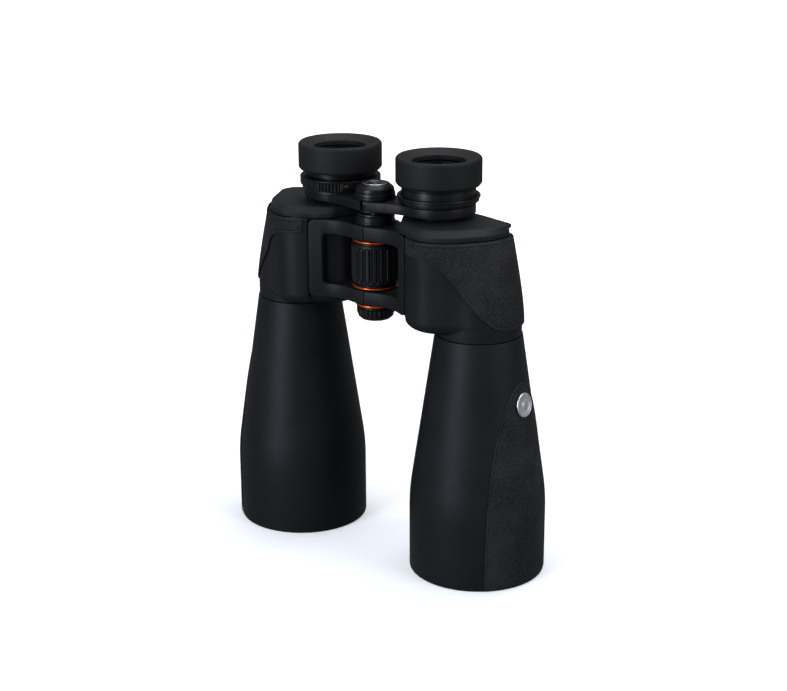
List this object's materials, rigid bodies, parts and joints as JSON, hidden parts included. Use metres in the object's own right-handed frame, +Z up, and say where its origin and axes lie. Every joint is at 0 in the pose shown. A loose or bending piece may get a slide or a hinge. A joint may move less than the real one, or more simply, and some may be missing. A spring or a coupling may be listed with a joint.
{
  "type": "astronomy binoculars",
  "caption": "Porro-prism astronomy binoculars with long flared objective barrels, a folding hinge with a central focus wheel, twist-up eyecups and a capped tripod socket.",
  "frame": {"origin": "on the floor midway between the objective axes, with the binoculars standing on their objective rims", "axes": "+Z up the barrels to the eyecups; +X to the right of someone facing the hinge side; +Y away from them, to the side that the halves fold towards"},
  "size_m": [0.2264, 0.0836, 0.2557],
  "materials": {
    "armour_rubber": "smooth satin rubber armour over a cast body",
    "grained_rubber": "matt rubber with a fine leather-like grain",
    "black_plastic": "semi-gloss black moulding",
    "orange_anodised": "orange anodised, turned",
    "black_metal": "matt black anodised",
    "steel": "turned steel",
    "brass": "plain brass",
    "coated_glass": "polished lens with a green anti-reflection coating",
    "prism_glass": "polished optical glass",
    "silver_trim": "bright silver trim"
  },
  "bodies": {
    "root": {"left_barrel": "armour_rubber", "left_barrel_grip_panel": "grained_rubber", "left_objective_front_element": "coated_glass", "left_objective_rear_element": "coated_glass", "left_objective_retainer": "black_metal", "left_prism_housing": "armour_rubber", "left_housing_grip_panel": "grained_rubber", "left_prism_cover": "armour_rubber", "left_prism_shelf": "black_metal", "left_upper_prism": "prism_glass", "left_lower_prism": "prism_glass", "left_strap_lug": "black_plastic", "left_hinge_bracket": "armour_rubber", "hinge_tube": "steel", "hinge_pin": "steel", "hinge_collar": "black_plastic", "tripod_bush": "brass"},
    "right_half": {"right_barrel": "armour_rubber", "right_barrel_grip_panel": "grained_rubber", "right_objective_front_element": "coated_glass", "right_objective_rear_element": "coated_glass", "right_objective_retainer": "black_metal", "right_prism_housing": "armour_rubber", "right_housing_grip_panel": "grained_rubber", "right_prism_cover": "armour_rubber", "right_prism_shelf": "black_metal", "right_upper_prism": "prism_glass", "right_lower_prism": "prism_glass", "right_strap_lug": "black_plastic", "right_hinge_bracket": "armour_rubber", "right_badge": "silver_trim"},
    "focus_wheel": {"focus_wheel_core": "black_plastic", "focus_wheel_grip": "grained_rubber", "lower_wheel_ring": "orange_anodised", "upper_wheel_ring": "orange_anodised"},
    "bridge": {"bridge_post": "steel", "bridge_cap": "black_plastic", "bridge_emblem": "silver_trim", "focus_screw": "steel", "left_eyepiece_arm": "black_plastic"},
    "right_eyepiece": {"right_eyepiece_arm": "black_plastic", "right_eyepiece_tube": "black_plastic", "right_eyepiece_flange": "black_plastic", "right_field_lens": "coated_glass", "right_eye_lens": "coated_glass"},
    "diopter_ring": {"left_diopter_ring": "black_plastic"},
    "left_eyepiece": {"left_eyepiece_tube": "black_plastic", "left_field_lens": "coated_glass", "left_eye_lens": "coated_glass"},
    "left_glide": {"left_eyecup_glide_ring": "black_metal"},
    "left_cup": {"left_eyecup": "armour_rubber"},
    "right_glide": {"right_eyecup_glide_ring": "black_metal"},
    "right_cup": {"right_eyecup": "armour_rubber"},
    "cap_seal": {"tripod_cap_ring": "orange_anodised"},
    "cap": {"tripod_cap": "black_plastic"}
  },
  "joints": [
    {"name": "interpupillary_hinge", "type": "hinge", "parent": "root", "child": "right_half", "pos_m": [0, -0.01, 0.188], "axis": [0, 0, 1], "range_deg": [0, 51]},
    {"name": "focus_turn", "type": "hinge", "parent": "root", "child": "focus_wheel", "pos_m": [0, -0.01, 0.1875], "axis": [0, 0, 1], "range_deg": [-60, 360]},
    {"name": "bridge_slide", "type": "slide", "parent": "root", "child": "bridge", "axis": [0, 0, 1], "range_m": [-0.001, 0.006]},
    {"name": "right_eyepiece_slide", "type": "slide", "parent": "right_half", "child": "right_eyepiece", "axis": [0, 0, 1], "range_m": [-0.001, 0.006]},
    {"name": "diopter_turn", "type": "hinge", "parent": "bridge", "child": "diopter_ring", "pos_m": [-0.038, 0.0035, 0.231], "axis": [0, 0, 1], "range_deg": [-60, 60]},
    {"name": "diopter_slide", "type": "slide", "parent": "bridge", "child": "left_eyepiece", "axis": [0, 0, 1], "range_m": [-0.001, 0.001]},
    {"name": "left_eyecup_lift", "type": "slide", "parent": "left_eyepiece", "child": "left_glide", "axis": [0, 0, 1], "range_m": [0, 0.008]},
    {"name": "left_eyecup_twist", "type": "hinge", "parent": "left_glide", "child": "left_cup", "pos_m": [-0.038, 0.0035, 0.247], "axis": [0, 0, 1], "range_deg": [0, 120]},
    {"name": "right_eyecup_lift", "type": "slide", "parent": "right_eyepiece", "child": "right_glide", "axis": [0, 0, 1], "range_m": [0, 0.008]},
    {"name": "right_eyecup_twist", "type": "hinge", "parent": "right_glide", "child": "right_cup", "pos_m": [0.038, 0.0035, 0.247], "axis": [0, 0, 1], "range_deg": [0, 120]},
    {"name": "cap_drop", "type": "slide", "parent": "root", "child": "cap_seal", "axis": [0, 0, -1], "range_m": [0, 0.00762]},
    {"name": "cap_unscrew", "type": "hinge", "parent": "cap_seal", "child": "cap", "pos_m": [0, -0.01, 0.158], "axis": [0, 0, -1], "range_deg": [0, 2160]}
  ],
  "couplings": [
    {"joint": "focus_turn", "follows": "bridge_slide", "rad_per_m": 1047.2},
    {"joint": "right_eyepiece_slide", "follows": "bridge_slide", "ratio": 1},
    {"joint": "diopter_turn", "follows": "diopter_slide", "rad_per_m": 1047.2},
    {"joint": "left_eyecup_lift", "follows": "left_eyecup_twist", "m_per_rad": 0.0038197},
    {"joint": "right_eyecup_lift", "follows": "right_eyecup_twist", "m_per_rad": 0.0038197},
    {"joint": "cap_unscrew", "follows": "cap_drop", "rad_per_m": 4947.4}
  ]
}
